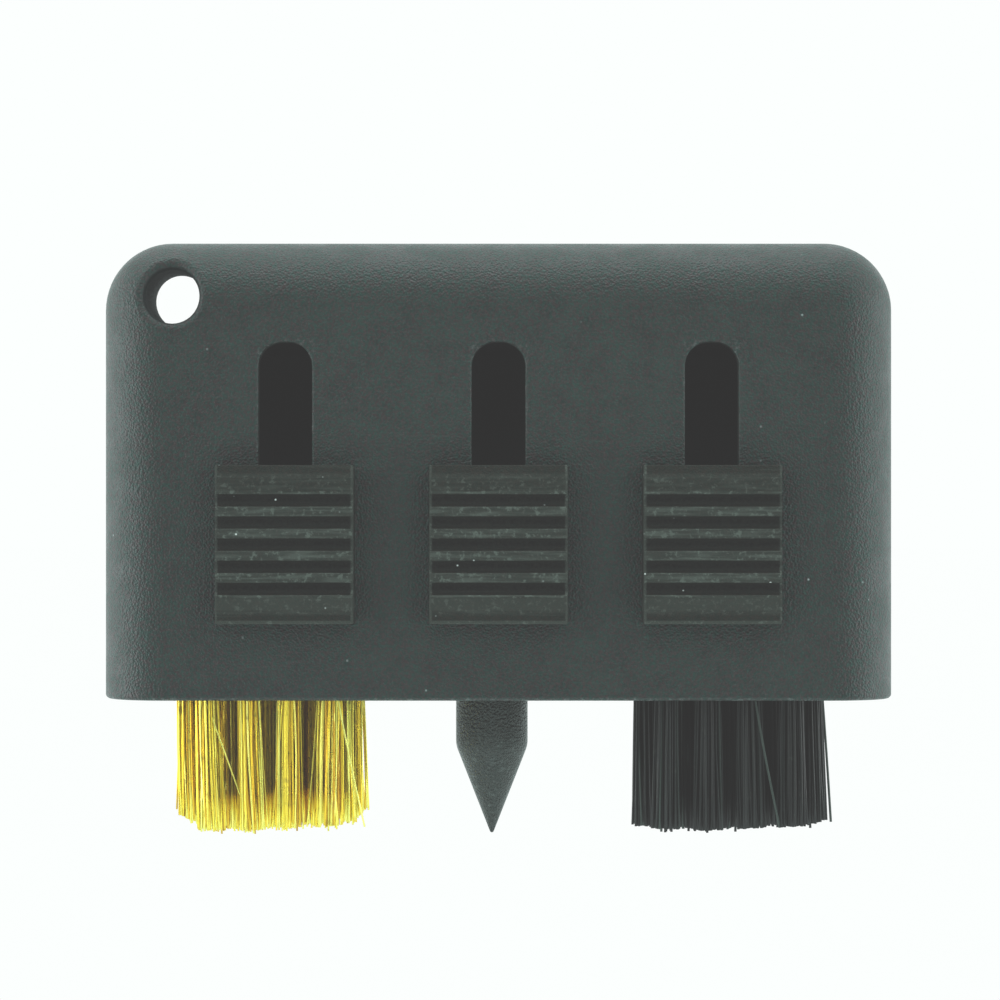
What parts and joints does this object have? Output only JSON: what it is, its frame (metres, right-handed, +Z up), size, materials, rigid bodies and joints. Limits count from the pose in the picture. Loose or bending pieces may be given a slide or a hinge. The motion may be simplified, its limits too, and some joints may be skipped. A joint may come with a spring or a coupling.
{
  "type": "club groove brush",
  "caption": "Flat pocket brush for cleaning golf club grooves: a case with sliding wire brush, pick and nylon brush, and a lanyard hole.",
  "frame": {"origin": "under the centre of the overall box, on the level of the bristle tips with all three tools out", "axes": "+X along the case's width, to the right as seen from the buttons' side; +Y out of the back face, away from the buttons; +Z up, from the bristle tips to the top of the case"},
  "size_m": [0.07, 0.0154, 0.0526],
  "materials": {
    "case_plastic": "matte",
    "button_plastic": "matte",
    "carrier_plastic": "matte",
    "pick_plastic": "satin",
    "brass_wire": "satin",
    "nylon_bristle": "satin",
    "anchor_steel": "satin"
  },
  "bodies": {
    "case": {"case_shell": "case_plastic"},
    "brass_slide": {"brass_brush_block": "carrier_plastic", "brass_thumb_button": "button_plastic", "brass_tuft_anchors": "anchor_steel", "brass_tuft_front_1": "brass_wire", "brass_tuft_front_2": "brass_wire", "brass_tuft_front_3": "brass_wire", "brass_tuft_front_4": "brass_wire", "brass_tuft_middle_1": "brass_wire", "brass_tuft_middle_2": "brass_wire", "brass_tuft_middle_3": "brass_wire", "brass_tuft_middle_4": "brass_wire", "brass_tuft_middle_5": "brass_wire", "brass_tuft_back_1": "brass_wire", "brass_tuft_back_2": "brass_wire", "brass_tuft_back_3": "brass_wire", "brass_tuft_back_4": "brass_wire"},
    "pick_slide": {"groove_pick": "pick_plastic", "pick_thumb_button": "button_plastic"},
    "nylon_slide": {"nylon_brush_block": "carrier_plastic", "nylon_thumb_button": "button_plastic", "nylon_tuft_anchors": "anchor_steel", "nylon_tuft_front_1": "nylon_bristle", "nylon_tuft_front_2": "nylon_bristle", "nylon_tuft_front_3": "nylon_bristle", "nylon_tuft_front_4": "nylon_bristle", "nylon_tuft_middle_1": "nylon_bristle", "nylon_tuft_middle_2": "nylon_bristle", "nylon_tuft_middle_3": "nylon_bristle", "nylon_tuft_middle_4": "nylon_bristle", "nylon_tuft_middle_5": "nylon_bristle", "nylon_tuft_back_1": "nylon_bristle", "nylon_tuft_back_2": "nylon_bristle", "nylon_tuft_back_3": "nylon_bristle", "nylon_tuft_back_4": "nylon_bristle"}
  },
  "joints": [
    {"name": "brass_out_in", "type": "slide", "parent": "case", "child": "brass_slide", "axis": [0, 0, 1], "range_m": [0, 0.0135]},
    {"name": "pick_out_in", "type": "slide", "parent": "case", "child": "pick_slide", "axis": [0, 0, 1], "range_m": [0, 0.0135]},
    {"name": "nylon_out_in", "type": "slide", "parent": "case", "child": "nylon_slide", "axis": [0, 0, 1], "range_m": [0, 0.0135]}
  ]
}
